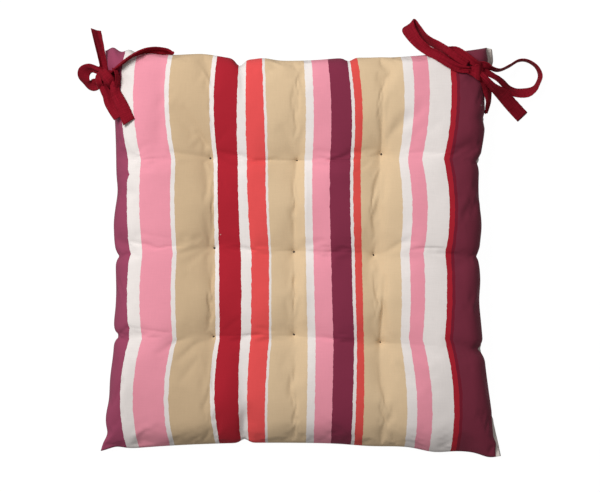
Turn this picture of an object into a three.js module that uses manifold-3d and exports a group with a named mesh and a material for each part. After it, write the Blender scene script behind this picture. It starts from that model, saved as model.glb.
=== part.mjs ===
// A square tufted chair pad with a striped cotton face, lying on its back, with a tie at each back corner.
// Millimetres, +Z up. +Y is the pad's back edge, where the ties are, and +X its right-hand side.

import * as THREE from 'three';
import { mergeVertices } from 'three/addons/utils/BufferGeometryUtils.js';
import Module from 'manifold-3d';

// Pad sizes
const CORNERS = {
  backLeft: [-193, 200],
  backRight: [195, 204],
  frontLeft: [-198, -201],
  frontRight: [204, -205],
};
const CROWN_HEIGHT = 45;
const SEAM_HEIGHTS = { back: 21, front: 8 };
const CORNER_HEIGHT = 8;

// How far in from each edge a face is fully round, and how squarely it gets there: 2 is a quarter ellipse
const FACE_ROUND = {
  back: { reach: 30, squareness: 3 },
  front: { reach: 26, squareness: 2 },
  left: { reach: 34, squareness: 2.6 },
  right: { reach: 42, squareness: 2.6 },
};
const UNDER_ROUND = {
  back: { reach: 30, squareness: 2 },
  front: { reach: 30, squareness: 2 },
  left: { reach: 30, squareness: 2 },
  right: { reach: 30, squareness: 2 },
};

// The filling thins out towards the front edge and round the corners
const FRONT_FALL = { depth: 25, reach: 135 };
const CORNER_FALL = { depth: 15, reach: 55 };

// How far each edge is drawn in at its middle, and how squarely it runs out to its corners
const EDGES = {
  back: { from: 'backLeft', to: 'backRight', inward: [0, -1], drawnIn: 12, squareness: 2.2 },
  front: { from: 'frontLeft', to: 'frontRight', inward: [0, 1], drawnIn: 10.5, squareness: 2.2 },
  left: { from: 'backLeft', to: 'frontLeft', inward: [1, 0], drawnIn: 13, squareness: 4 },
  right: { from: 'backRight', to: 'frontRight', inward: [-1, 0], drawnIn: 18.5, squareness: 2.6 },
};

// Pinches in the seam, measured from the edge's first corner. A negative depth is a swell.
const PINCHES = [
  { edge: 'back', along: 8, depth: -4, reach: 8 },
  { edge: 'back', along: 45, depth: -2, reach: 16 },
  { edge: 'back', along: 96, depth: -5, reach: 33 },
  { edge: 'back', along: 134.5, depth: 7, reach: 6 },
  { edge: 'back', along: 158, depth: -2.5, reach: 12 },
  { edge: 'back', along: 242, depth: 2.5, reach: 5 },
  { edge: 'front', along: 139, depth: 4, reach: 5 },
  { edge: 'front', along: 260, depth: -1.5, reach: 25 },
  { edge: 'front', along: 322, depth: -3.5, reach: 18 },
  { edge: 'front', along: 377, depth: -3, reach: 12 },
  { edge: 'left', along: 135, depth: 1.4, reach: 12 },
  { edge: 'left', along: 168, depth: -2.2, reach: 18 },
  { edge: 'left', along: 198, depth: 3.6, reach: 5 },
  { edge: 'left', along: 275, depth: 4.4, reach: 5 },
  { edge: 'left', along: 317, depth: -2.2, reach: 22 },
  { edge: 'left', along: 351, depth: -2, reach: 12 },
  { edge: 'left', along: 370, depth: 2.5, reach: 7 },
  { edge: 'right', along: 78, depth: -2.4, reach: 25 },
  { edge: 'right', along: 111, depth: 3, reach: 5 },
  { edge: 'right', along: 168, depth: -2.3, reach: 20 },
  { edge: 'right', along: 199, depth: 3.5, reach: 6 },
  { edge: 'right', along: 286, depth: 3.5, reach: 5 },
];
const PINCH_FADE = 14;

// Tufts, row by row from the back
const TUFTS = [
  [{ x: -87, y: 92 }, { x: -1, y: 90 }, { x: 83, y: 96 }],
  [{ x: -83, y: 3 }, { x: -4, y: -1 }, { x: 75, y: -4 }],
  [{ x: -84, y: -85 }, { x: -4, y: -83 }, { x: 82, y: -91 }],
];
const TUFT_PIT = { depth: 4, reach: 6 };
const TUFT_HOLLOW = { depth: 4, reach: 34 };
const ROW_CHANNEL = { depth: 1.5, reach: 9 };
const COLUMN_CHANNEL = { depth: 1.5, reach: 11 };
const UNDER_PIT = { depth: 6, reach: 9, radius: 16 };

// Mesh cells between the seam and the first tuft, and from tuft to tuft
const EDGE_CELLS = 12;
const TUFT_CELLS = 8;
const EDGE_GRADING = 1.5;
const TUFT_LINES = [0.27, 0.49, 0.71];
const TUFT_PULL = 24;

// Ties: flat cotton tape, folded and stitched. Gap is what it keeps to the pad.
const TAPE_THICKNESS = 1.6;
const TIE_GAP = 0.6;
const STEPS_PER_ROW = 3;

// A row for each bend: place, heading of the tape's width in plan, its tilt from level, and its width.
// Slant is how much further one side of a cut end reaches than the other.
const LEFT_TIE = {
  backStrand: [
    { x: -122, y: 199.5, z: 20, across: 95, tilt: 86, width: 8 },
    { x: -135, y: 200.3, z: 24, across: 92, tilt: 60, width: 10 },
    { x: -143.5, y: 200.8, z: 28, across: 85, tilt: 68, width: 11 },
    { x: -153, y: 198.6, z: 32, across: 74, tilt: 72, width: 11 },
    { x: -163, y: 194, z: 36, across: 60, tilt: 68, width: 11 },
    { x: -172, y: 187.8, z: 36.5, across: 50, tilt: 62, width: 11 },
    { x: -184, y: 178, z: 33, across: 50, tilt: 50, width: 9 },
  ],
  sideStrand: [
    { x: -192, y: 172, z: 29, across: 15, tilt: 20, width: 9 },
    { x: -192, y: 162, z: 28, across: 12, tilt: 40, width: 11 },
    { x: -189.5, y: 150, z: 25, across: 15, tilt: 50, width: 12 },
    { x: -187, y: 139, z: 21, across: 20, tilt: 55, width: 10 },
    { x: -185, y: 130, z: 18, across: 20, tilt: 60, width: 8 },
  ],
  loop: [
    { x: -190, y: 177, z: 33, across: -70, tilt: 45, width: 8 },
    { x: -199, y: 181, z: 30, across: -68, tilt: 55, width: 11 },
    { x: -207, y: 182.6, z: 26, across: -62, tilt: 54, width: 12.5 },
    { x: -214, y: 178, z: 21, across: -45, tilt: 42, width: 13 },
    { x: -215, y: 171.5, z: 17, across: -40, tilt: 50, width: 13 },
    { x: -210.5, y: 165.8, z: 16, across: -50, tilt: 50, width: 13 },
    { x: -203.5, y: 163.6, z: 18, across: -65, tilt: 40, width: 12 },
    { x: -192, y: 169, z: 27, across: -65, tilt: 25, width: 9 },
  ],
  tailUp: [
    { x: -191.5, y: 172, z: 33, across: 10, tilt: 10, width: 7 },
    { x: -194, y: 183, z: 33, across: 10, tilt: 34, width: 8.6 },
    { x: -197.4, y: 201, z: 30, across: 8, tilt: 36, width: 11 },
    { x: -201.2, y: 220.5, z: 25, across: 5, tilt: 36, width: 12, slant: -8 },
  ],
  tailUnder: [
    { x: -190, y: 171, z: 32, across: 15, tilt: 10, width: 7 },
    { x: -188.5, y: 161, z: 33, across: 15, tilt: 24, width: 10 },
    { x: -185, y: 151, z: 34.5, across: 20, tilt: 26, width: 11.5 },
    { x: -180.5, y: 142, z: 37, across: 24, tilt: 20, width: 12, slant: 2 },
  ],
  tailDown: [
    { x: -186, y: 173, z: 37, across: 8, tilt: -10, width: 7 },
    { x: -181, y: 162, z: 39, across: 10, tilt: -20, width: 9.5 },
    { x: -177, y: 151.5, z: 41, across: 20, tilt: -16, width: 11.5 },
    { x: -173, y: 140.5, z: 42.5, across: 30, tilt: -10, width: 12.8 },
    { x: -168.2, y: 129.5, z: 44.5, across: 35, tilt: -8, width: 13.4, slant: -3 },
  ],
  frontBand: [
    { x: -201.5, y: 174, z: 24, across: 80, tilt: 10, width: 10 },
    { x: -197.5, y: 172.5, z: 34, across: 76, tilt: 8, width: 11 },
    { x: -190.5, y: 170.5, z: 39.5, across: 66, tilt: 4, width: 11.5 },
    { x: -183.5, y: 168.5, z: 38, across: 50, tilt: 0, width: 11 },
    { x: -178.5, y: 167.5, z: 33, across: 45, tilt: 0, width: 9 },
  ],
  neckBand: [
    { x: -198, y: 184, z: 27, across: 118, tilt: 0, width: 7 },
    { x: -194.5, y: 182, z: 34, across: 110, tilt: 0, width: 8 },
    { x: -189, y: 179, z: 37.5, across: 92, tilt: 0, width: 9 },
    { x: -183.5, y: 176.5, z: 36, across: 70, tilt: 0, width: 9 },
    { x: -178.5, y: 174.5, z: 33, across: 60, tilt: 0, width: 8 },
  ],
  knot: [
    { x: -190, y: 174, z: 31, turn: 35, size: [19, 13, 13] },
    { x: -189, y: 172, z: 32, turn: -50, size: [17, 12, 11] },
  ],
};
const RIGHT_TIE = {
  backStrand: [
    { x: 152, y: 201, z: 27, across: 120, tilt: 40, width: 11 },
    { x: 161, y: 197, z: 32, across: 60, tilt: 20, width: 12 },
    { x: 172, y: 186, z: 35, across: 50, tilt: 10, width: 10 },
  ],
  sideStrand: [
    { x: 179, y: 178, z: 31.5, across: 20, tilt: -15, width: 9 },
    { x: 185.5, y: 170, z: 29, across: 15, tilt: -20, width: 11 },
    { x: 188, y: 162, z: 26, across: 12, tilt: -25, width: 11.5 },
    { x: 188.6, y: 152.5, z: 22, across: 5, tilt: -55, width: 12 },
    { x: 188, y: 143, z: 18, across: 0, tilt: -72, width: 12 },
    { x: 187, y: 137, z: 16.5, across: 0, tilt: -78, width: 12 },
  ],
  flatLoop: [
    { x: 168, y: 180.5, z: 37, across: 62, tilt: 6, width: 8 },
    { x: 156, y: 182.5, z: 39, across: 62, tilt: 8, width: 8.5 },
    { x: 146.5, y: 188.5, z: 40, across: 60, tilt: 8, width: 8.8 },
    { x: 137.5, y: 194.5, z: 38, across: 56, tilt: 8, width: 9 },
    { x: 128.8, y: 199.7, z: 32, across: 50, tilt: 8, width: 9.5 },
    { x: 120, y: 207.5, z: 26, across: 42, tilt: 6, width: 11 },
    { x: 113, y: 217.5, z: 20, across: 38, tilt: 2, width: 13.5 },
    { x: 110.5, y: 225, z: 14, across: 40, tilt: 0, width: 14.5 },
    { x: 114.5, y: 228, z: 9, across: 46, tilt: 26, width: 13 },
    { x: 121.5, y: 223, z: 9, across: 54, tilt: 66, width: 13 },
    { x: 127.5, y: 215, z: 14, across: 52, tilt: 70, width: 13 },
    { x: 133.5, y: 208.5, z: 20, across: 55, tilt: 44, width: 13 },
    { x: 141, y: 203.7, z: 26, across: 60, tilt: 24, width: 12 },
    { x: 149, y: 197.5, z: 34, across: 60, tilt: 14, width: 11 },
    { x: 158, y: 191, z: 36.5, across: 58, tilt: 14, width: 9.5 },
    { x: 171, y: 184, z: 35, across: 55, tilt: 10, width: 8.5 },
  ],
  openLoop: [
    { x: 176, y: 183, z: 34.5, across: 80, tilt: 60, width: 9 },
    { x: 189, y: 183, z: 28, across: 80, tilt: 80, width: 12 },
    { x: 201, y: 181, z: 19, across: 85, tilt: 82, width: 13 },
    { x: 211, y: 185, z: 12, across: 120, tilt: 82, width: 13 },
    { x: 221, y: 190.8, z: 9, across: 100, tilt: 82, width: 13 },
    { x: 230, y: 190.8, z: 8, across: 75, tilt: 82, width: 13 },
    { x: 239, y: 185, z: 8, across: 40, tilt: 80, width: 13 },
    { x: 243, y: 176, z: 8, across: 0, tilt: 74, width: 13 },
    { x: 240, y: 166.5, z: 8, across: -50, tilt: 50, width: 13 },
    { x: 229, y: 160, z: 7, across: -80, tilt: 32, width: 13 },
    { x: 215, y: 158.5, z: 8, across: -90, tilt: 25, width: 12.5 },
    { x: 199, y: 166, z: 19, across: -110, tilt: 25, width: 11 },
    { x: 180, y: 178, z: 30, across: -120, tilt: 20, width: 9 },
  ],
  tail: [
    { x: 178, y: 179, z: 35, across: 50, tilt: 8, width: 9 },
    { x: 188, y: 172.5, z: 33, across: 50, tilt: 8, width: 11.5 },
    { x: 202, y: 160, z: 22, across: 45, tilt: 10, width: 13.2 },
    { x: 214, y: 147, z: 12, across: 44, tilt: 8, width: 13.5 },
    { x: 225.5, y: 134.5, z: 4, across: 44, tilt: 2, width: 13.5 },
  ],
  frontBand: [
    { x: 162, y: 177, z: 36, across: -62, tilt: 0, width: 11 },
    { x: 167, y: 179, z: 38, across: -62, tilt: 0, width: 12 },
    { x: 174, y: 181.5, z: 39.2, across: -60, tilt: 0, width: 12.5 },
    { x: 181, y: 184.5, z: 37, across: -58, tilt: 0, width: 12 },
    { x: 185, y: 187, z: 31, across: -55, tilt: 0, width: 11 },
  ],
  knot: [
    { x: 174, y: 182, z: 33, turn: -40, size: [22, 14, 13] },
    { x: 176, y: 180, z: 34, turn: 30, size: [18, 13, 11] },
  ],
};

// The seam line of one edge without its pinches
function seamPoint(edgeName, fraction) {
  const edge = EDGES[edgeName];
  const start = CORNERS[edge.from];
  const end = CORNERS[edge.to];
  const drawn = edge.drawnIn * (1 - Math.abs(2 * fraction - 1) ** edge.squareness);
  const straight = (axis) => start[axis] + (end[axis] - start[axis]) * fraction;
  return [0, 1].map((axis) => straight(axis) + edge.inward[axis] * drawn);
}

// A place on the pad in plan: right runs 0 to 1 across, forward 0 to 1 from the back edge to the front
function planPoint(right, forward) {
  const back = seamPoint('back', right);
  const front = seamPoint('front', right);
  const left = seamPoint('left', forward);
  const side = seamPoint('right', forward);
  const point = [0, 1].map((axis) => {
    const between = (1 - forward) * back[axis] + forward * front[axis];
    const across = (1 - right) * left[axis] + right * side[axis];
    const alongBack = (1 - right) * CORNERS.backLeft[axis] + right * CORNERS.backRight[axis];
    const alongFront = (1 - right) * CORNERS.frontLeft[axis] + right * CORNERS.frontRight[axis];
    return between + across - (1 - forward) * alongBack - forward * alongFront;
  });
  const size = CORNERS.backRight[0] - CORNERS.backLeft[0];
  const inside = { back: forward, front: 1 - forward, left: right, right: 1 - right };
  const along = { back: right, front: right, left: forward, right: forward };
  for (const pinch of PINCHES) {
    const offset = (along[pinch.edge] * size - pinch.along) / pinch.reach;
    const fade = Math.exp(-inside[pinch.edge] * size / PINCH_FADE);
    const push = pinch.depth * Math.exp(-offset * offset) * fade;
    point[0] += EDGES[pinch.edge].inward[0] * push;
    point[1] += EDGES[pinch.edge].inward[1] * push;
  }
  return point;
}

// Rises from 0 at the seam to 1 where the face is fully round
function roundOver(distance, shape) {
  const left = 1 - Math.min(distance / shape.reach, 1);
  return (1 - left ** shape.squareness) ** (1 / shape.squareness);
}

function bump(offset, shape) {
  return shape.depth * Math.exp(-((offset / shape.reach) ** 2));
}

// Height of a polyline through the given places, read at one coordinate
function readLine(places, along, value, at) {
  const last = places.length - 1;
  const next = places.findIndex((place) => place[along] > at);
  const high = next < 1 ? (next === 0 ? 1 : last) : next;
  const from = places[high - 1];
  const to = places[high];
  return from[value] + (to[value] - from[value]) * (at - from[along]) / (to[along] - from[along]);
}

function nearestTuft(x, y) {
  return Math.min(...TUFTS.flat().map((tuft) => Math.hypot(x - tuft.x, y - tuft.y)));
}

function sewnDepth(x, y) {
  let depth = 0;
  for (const row of TUFTS) {
    const offset = y - readLine(row, 'x', 'y', x);
    depth += bump(offset, ROW_CHANNEL);
  }
  for (const column of [0, 1, 2]) {
    const places = [2, 1, 0].map((row) => TUFTS[row][column]);
    const offset = x - readLine(places, 'y', 'x', y);
    depth += bump(offset, COLUMN_CHANNEL);
  }
  const near = nearestTuft(x, y);
  return depth + bump(near, TUFT_HOLLOW) + TUFT_PIT.depth * Math.exp(-near / TUFT_PIT.reach);
}

function seamHeight(right, forward) {
  const cornerness = (Math.abs(2 * right - 1) * Math.abs(2 * forward - 1)) ** 3;
  const along = SEAM_HEIGHTS.back + (SEAM_HEIGHTS.front - SEAM_HEIGHTS.back) * forward;
  return along + (CORNER_HEIGHT - along) * cornerness;
}

// Product of how round the face is from each of its edges, each 0 at the seam
function fullness(right, forward, rounds) {
  const size = CORNERS.backRight[0] - CORNERS.backLeft[0];
  return roundOver(forward * size, rounds.back) * roundOver((1 - forward) * size, rounds.front)
    * roundOver(right * size, rounds.left) * roundOver((1 - right) * size, rounds.right);
}

// Height of the full face before its tufts draw it in
function crownHeight(right, forward) {
  const size = CORNERS.backRight[0] - CORNERS.backLeft[0];
  const nearFront = Math.max(1 - (1 - forward) * size / FRONT_FALL.reach, 0);
  const fromCorner = Math.hypot(Math.min(right, 1 - right), Math.min(forward, 1 - forward)) * size;
  return CROWN_HEIGHT - FRONT_FALL.depth * nearFront ** 2 - bump(fromCorner, CORNER_FALL);
}

function topHeight(x, y, right, forward) {
  const base = seamHeight(right, forward);
  const sewn = sewnDepth(x, y);
  return base + (crownHeight(right, forward) - base - sewn) * fullness(right, forward, FACE_ROUND);
}

function underHeight(x, y, right, forward) {
  const base = seamHeight(right, forward);
  const near = nearestTuft(x, y);
  const pit = near < UNDER_PIT.radius ? UNDER_PIT.depth * Math.exp(-near / UNDER_PIT.reach) : 0;
  return base * (1 - fullness(right, forward, UNDER_ROUND)) + pit;
}

// Grid lines from seam to seam, close together by the seams and through each tuft line
function gridLines() {
  const lines = [];
  for (let cell = 0; cell < EDGE_CELLS; cell += 1) {
    lines.push(TUFT_LINES[0] * (cell / EDGE_CELLS) ** EDGE_GRADING);
  }
  for (const gap of [0, 1]) {
    const width = TUFT_LINES[gap + 1] - TUFT_LINES[gap];
    for (let cell = 0; cell < TUFT_CELLS; cell += 1) {
      lines.push(TUFT_LINES[gap] + width * cell / TUFT_CELLS);
    }
  }
  for (let cell = EDGE_CELLS; cell >= 0; cell -= 1) {
    lines.push(1 - (1 - TUFT_LINES[2]) * (cell / EDGE_CELLS) ** EDGE_GRADING);
  }
  return lines;
}

// Moves the nearest place in plan onto the tuft, and its neighbours part of the way
function pullToTuft(places, tuft) {
  const distance = (place) => Math.hypot(place[0] - tuft.x, place[1] - tuft.y);
  const nearest = places.reduce((best, place) => (distance(place) < distance(best) ? place : best));
  const centre = [...nearest];
  for (const place of places) {
    const away = Math.hypot(place[0] - centre[0], place[1] - centre[1]) / TUFT_PULL;
    const share = Math.exp(-away * away);
    place[0] += (tuft.x - centre[0]) * share;
    place[1] += (tuft.y - centre[1]) * share;
  }
}

// The pad as one closed surface, made larger all round by grow
function padGeometry(grow) {
  const lines = gridLines();
  const count = lines.length;
  const plan = lines.map((forward) => lines.map((right) => planPoint(right, forward)));
  for (const tuft of TUFTS.flat()) {
    pullToTuft(plan.flat(), tuft);
  }
  const positions = [];
  const top = [];
  const under = [];
  for (let i = 0; i < count; i += 1) {
    top.push([]);
    under.push([]);
    for (let j = 0; j < count; j += 1) {
      const [x, y] = plan[i][j];
      const onSeam = i === 0 || j === 0 || i === count - 1 || j === count - 1;
      top[i].push(positions.length / 3);
      positions.push(x, y, topHeight(x, y, lines[j], lines[i]));
      if (onSeam) {
        under[i].push(top[i][j]);
      } else {
        under[i].push(positions.length / 3);
        positions.push(x, y, underHeight(x, y, lines[j], lines[i]));
      }
    }
  }
  const faces = [];
  for (let i = 0; i < count - 1; i += 1) {
    for (let j = 0; j < count - 1; j += 1) {
      faces.push(top[i][j], top[i + 1][j], top[i + 1][j + 1]);
      faces.push(top[i][j], top[i + 1][j + 1], top[i][j + 1]);
      faces.push(under[i][j], under[i + 1][j + 1], under[i + 1][j]);
      faces.push(under[i][j], under[i][j + 1], under[i + 1][j + 1]);
    }
  }
  const geometry = new THREE.BufferGeometry();
  geometry.setAttribute('position', new THREE.Float32BufferAttribute(positions, 3));
  geometry.setIndex(faces);
  geometry.computeVertexNormals();
  const { position, normal } = geometry.attributes;
  for (let i = 0; i < position.count; i += 1) {
    const place = new THREE.Vector3().fromBufferAttribute(position, i);
    place.addScaledVector(new THREE.Vector3().fromBufferAttribute(normal, i), grow);
    position.setXYZ(i, place.x, place.y, place.z);
  }
  geometry.deleteAttribute('normal');
  return geometry;
}

// Flat tape swept through its rows
function tapeGeometry(rows) {
  const route = new THREE.CatmullRomCurve3(rows.map((row) => new THREE.Vector3(row.x, row.y, row.z)));
  const steps = (rows.length - 1) * STEPS_PER_ROW;
  const positions = [];
  const faces = [];
  const wide = new THREE.Vector3();
  for (let step = 0; step <= steps; step += 1) {
    const at = step / steps;
    const row = Math.min(Math.floor(step / STEPS_PER_ROW), rows.length - 2);
    const part = step / STEPS_PER_ROW - row;
    const blend = (name) => rows[row][name] + (rows[row + 1][name] - rows[row][name]) * part;
    const heading = THREE.MathUtils.degToRad(blend('across'));
    const tilt = THREE.MathUtils.degToRad(blend('tilt'));
    const along = route.getTangent(at);
    wide.set(Math.cos(heading) * Math.cos(tilt), Math.sin(heading) * Math.cos(tilt), Math.sin(tilt));
    const thick = new THREE.Vector3().crossVectors(along, wide).normalize();
    wide.crossVectors(thick, along).normalize();
    const centre = route.getPoint(at);
    const slant = step === steps ? rows[rows.length - 1].slant ?? 0 : 0;
    for (const [side, face] of [[-1, -1], [1, -1], [1, 1], [-1, 1]]) {
      const corner = centre.clone();
      corner.addScaledVector(wide, side * blend('width') / 2);
      corner.addScaledVector(along, side * slant / 2);
      corner.addScaledVector(thick, face * TAPE_THICKNESS / 2);
      positions.push(corner.x, corner.y, corner.z);
    }
    if (step > 0) {
      const here = step * 4;
      for (let side = 0; side < 4; side += 1) {
        const next = (side + 1) % 4;
        faces.push(here - 4 + side, here + next, here + side);
        faces.push(here - 4 + side, here - 4 + next, here + next);
      }
    }
  }
  const end = steps * 4;
  faces.push(0, 2, 1, 0, 3, 2);
  faces.push(end, end + 1, end + 2, end, end + 2, end + 3);
  const geometry = new THREE.BufferGeometry();
  geometry.setAttribute('position', new THREE.Float32BufferAttribute(positions, 3));
  geometry.setIndex(faces);
  return geometry;
}

// One rounded wrap of a knot
function wrapGeometry(wrap) {
  const geometry = new THREE.SphereGeometry(0.5, 16, 10);
  geometry.scale(...wrap.size);
  geometry.rotateZ(THREE.MathUtils.degToRad(wrap.turn));
  geometry.translate(wrap.x, wrap.y, wrap.z);
  return geometry;
}

const wasm = await Module();
wasm.setup();

function toSolid(geometry) {
  const bare = geometry.clone();
  bare.deleteAttribute('normal');
  bare.deleteAttribute('uv');
  const merged = mergeVertices(bare, 1e-4);
  const vertProperties = Float32Array.from(merged.attributes.position.array);
  const triVerts = Uint32Array.from(merged.index.array);
  return new wasm.Manifold(new wasm.Mesh({ numProp: 3, vertProperties, triVerts }));
}

function toGeometry(solid) {
  const mesh = solid.getMesh();
  const geometry = new THREE.BufferGeometry();
  geometry.setAttribute('position', new THREE.Float32BufferAttribute(mesh.vertProperties, 3));
  geometry.setIndex(Array.from(mesh.triVerts));
  return geometry;
}

// The runs of one tie and its knot, joined and cut clear of the pad
function tieGeometry(tie) {
  const { knot, ...runs } = tie;
  const pieces = [...knot.map(wrapGeometry), ...Object.values(runs).map(tapeGeometry)];
  const solid = pieces.map(toSolid).reduce((joined, next) => joined.add(next));
  return toGeometry(solid.subtract(toSolid(padGeometry(TIE_GAP))));
}

const cover = new THREE.MeshStandardMaterial({ color: 0xd2b796, roughness: 0.9, metalness: 0 });
const tape = new THREE.MeshStandardMaterial({ color: 0x7d1622, roughness: 0.8, metalness: 0 });

function piece(name, geometry, material) {
  const mesh = new THREE.Mesh(geometry, material);
  mesh.name = name;
  return mesh;
}

const chairPad = new THREE.Group();
chairPad.add(piece('pad', padGeometry(0), cover));
chairPad.add(piece('left_tie', tieGeometry(LEFT_TIE), tape));
chairPad.add(piece('right_tie', tieGeometry(RIGHT_TIE), tape));

// The origin is on the floor, at the middle of the box round the pad and its ties
const box = new THREE.Box3().setFromObject(chairPad);
const middle = box.getCenter(new THREE.Vector3());
chairPad.position.set(-middle.x, -middle.y, -box.min.z);

export default chairPad;
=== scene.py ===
import math

import bpy
import numpy as np
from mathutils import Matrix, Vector, noise
from mathutils.bvhtree import BVHTree


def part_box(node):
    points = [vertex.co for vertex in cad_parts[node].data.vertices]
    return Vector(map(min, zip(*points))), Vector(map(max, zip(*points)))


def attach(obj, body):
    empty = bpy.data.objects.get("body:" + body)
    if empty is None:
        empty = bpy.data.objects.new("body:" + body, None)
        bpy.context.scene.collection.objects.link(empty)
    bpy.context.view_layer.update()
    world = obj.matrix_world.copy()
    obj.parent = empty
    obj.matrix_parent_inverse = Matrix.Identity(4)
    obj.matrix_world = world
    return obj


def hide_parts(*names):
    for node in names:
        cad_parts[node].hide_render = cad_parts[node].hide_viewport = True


# A square tufted chair pad with a striped cotton face. It lies on its back, with a tie at each back corner.
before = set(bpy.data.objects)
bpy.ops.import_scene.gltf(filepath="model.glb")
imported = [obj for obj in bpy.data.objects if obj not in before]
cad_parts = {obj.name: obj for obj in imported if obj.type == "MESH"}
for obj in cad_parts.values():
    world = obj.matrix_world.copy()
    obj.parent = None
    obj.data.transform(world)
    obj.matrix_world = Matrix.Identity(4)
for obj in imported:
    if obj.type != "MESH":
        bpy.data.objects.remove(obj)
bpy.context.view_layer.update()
scene = bpy.context.scene


# The cover is two panels of plain-woven cotton, sewn face to face round their edges, turned and filled with
# wadding. The seam gathers as it is drawn in between the corners, and pinches where the filling is thin.
# Sizes are in millimetres from the middle of the pad, with +Y to its back edge, where the ties are.
MM = 0.001
CORNERS = {
    "back_left": (-193, 200),
    "back_right": (195, 204),
    "front_left": (-198, -201),
    "front_right": (204, -205),
}
PAD_WIDTH = 387
CROWN_HEIGHT = 45
# Height of the seam at the middle of the back and of the front, and at the corners, and how late it drops to
# them: 1 is evenly from the middle
SEAM_HEIGHTS = {"back": 21, "front": 8}
CORNER_HEIGHT = 8
CORNER_DROP = 3

# How far in from each edge the face is fully round, and the back panel flat on what it lies on, and how
# squarely it gets there: 2 is a quarter of an ellipse. The filling also thins out over the last stretch to
# the front edge and round the corners: how far the crown falls, and over what distance.
FACE_ROUND = {"back": (18, 2.6), "front": (23, 1.9), "left": (22, 2.6), "right": (18, 2.4)}
UNDER_ROUND = {"back": (30, 2), "front": (30, 2), "left": (30, 2), "right": (30, 2)}
FRONT_FALL = (21, 135)
CORNER_FALL = (10, 50)

# How far each edge is drawn in at its middle, and how squarely it runs out to its corners
EDGES = {
    "back": {
        "from": "back_left", "to": "back_right", "inward": (0, -1), "drawn_in": 12, "squareness": 2.2,
    },
    "front": {
        "from": "front_left", "to": "front_right", "inward": (0, 1), "drawn_in": 10.5, "squareness": 2.2,
    },
    "left": {
        "from": "back_left", "to": "front_left", "inward": (1, 0), "drawn_in": 13, "squareness": 4,
    },
    "right": {
        "from": "back_right", "to": "front_right", "inward": (-1, 0), "drawn_in": 18.5, "squareness": 2.6,
    },
}

# Pinches in the seam: edge, distance along it from its first corner, depth and reach. A negative depth is a
# swell. They fade as they run in over the panels.
PINCHES = [
    ("back", 8, -5, 6),
    ("back", 24, -4, 6),
    ("back", 45, -2, 16),
    ("back", 96, -5, 33),
    ("back", 134.5, 7, 5),
    ("back", 158, -2.5, 12),
    ("back", 242, -2, 28),
    ("back", 243, 3.5, 5),
    ("front", 15, 3, 10),
    ("front", 139, 4, 5),
    ("front", 260, -1.5, 25),
    ("front", 322, -3.5, 18),
    ("front", 377, -3, 12),
    ("left", 16, -4, 10),
    ("left", 135, 1.4, 12),
    ("left", 168, -2.2, 18),
    ("left", 198, 3.6, 5),
    ("left", 233, 0.9, 20),
    ("left", 262, -0.8, 10),
    ("left", 275, 4.4, 5),
    ("left", 317, -2.2, 22),
    ("left", 351, -2, 12),
    ("left", 370, 2.5, 7),
    ("right", 14, -4.4, 9),
    ("right", 78, -3.6, 25),
    ("right", 111, 1.6, 5),
    ("right", 168, -3.2, 20),
    ("right", 199, 1.8, 6),
    ("right", 222, -1.4, 14),
    ("right", 238, 1.2, 20),
    ("right", 286, 3.5, 5),
    ("right", 335, -1, 35),
]
PINCH_FADE = 14

# Tufts, row by row from the back, and the pit, hollow and channels that they draw in: depth and reach
TUFTS = [
    [(-87, 92), (-1, 90), (83, 96)],
    [(-83, 3), (-4, -1), (75, -4)],
    [(-84, -85), (-4, -83), (82, -91)],
]
ALL_TUFTS = [tuft for row in TUFTS for tuft in row]
TUFT_PIT = (3.5, 3.5)
TUFT_HOLLOW = (3.5, 34)
ROW_CHANNEL = (2.2, 11)
COLUMN_CHANNEL = (2.2, 12)
UNDER_PIT = (6, 9)

# Mesh cells between the seam and the first tuft, and from tuft to tuft, and how much finer they are at the
# ends of such a stretch than in its middle. Every second line is a line of the coarser mesh that swells.
EDGE_CELLS = 60
TUFT_CELLS = 48
FINER_ENDS = 0.5
# Where the tufts' lines run across the mesh, as shares of its width, and how far round it a tuft draws them
TUFT_LINES = (0.27, 0.49, 0.71)
TUFT_PULL = 24

# On the right-hand side the seam has rolled onto the face, so that a pale edge of the back panel shows past
# it: height along the pad, and how wide that edge is
BACK_PANEL_SHOWS = [
    (-205, 5.5), (-200, 4.5), (-193, 2.4), (-186, 3.8), (-176, 2.8), (-160, 1), (-125, 0.3), (-110, 0),
    (-96, 2.5), (-88, 0), (-10, 0), (-4, 1.5), (4, 0), (84, 0), (90, 2.5), (98, 0), (122, 0), (132, 2.4),
    (140, 0), (167, 1), (176, 6), (205, 6.5),
]
# How far out the back panel rolls, how far in from the seam the roll ends, and how wide the pale edge has to
# show for the whole of it
SEAM_ROLL = {"out": 3, "in": 20, "full_from": 2}

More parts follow.
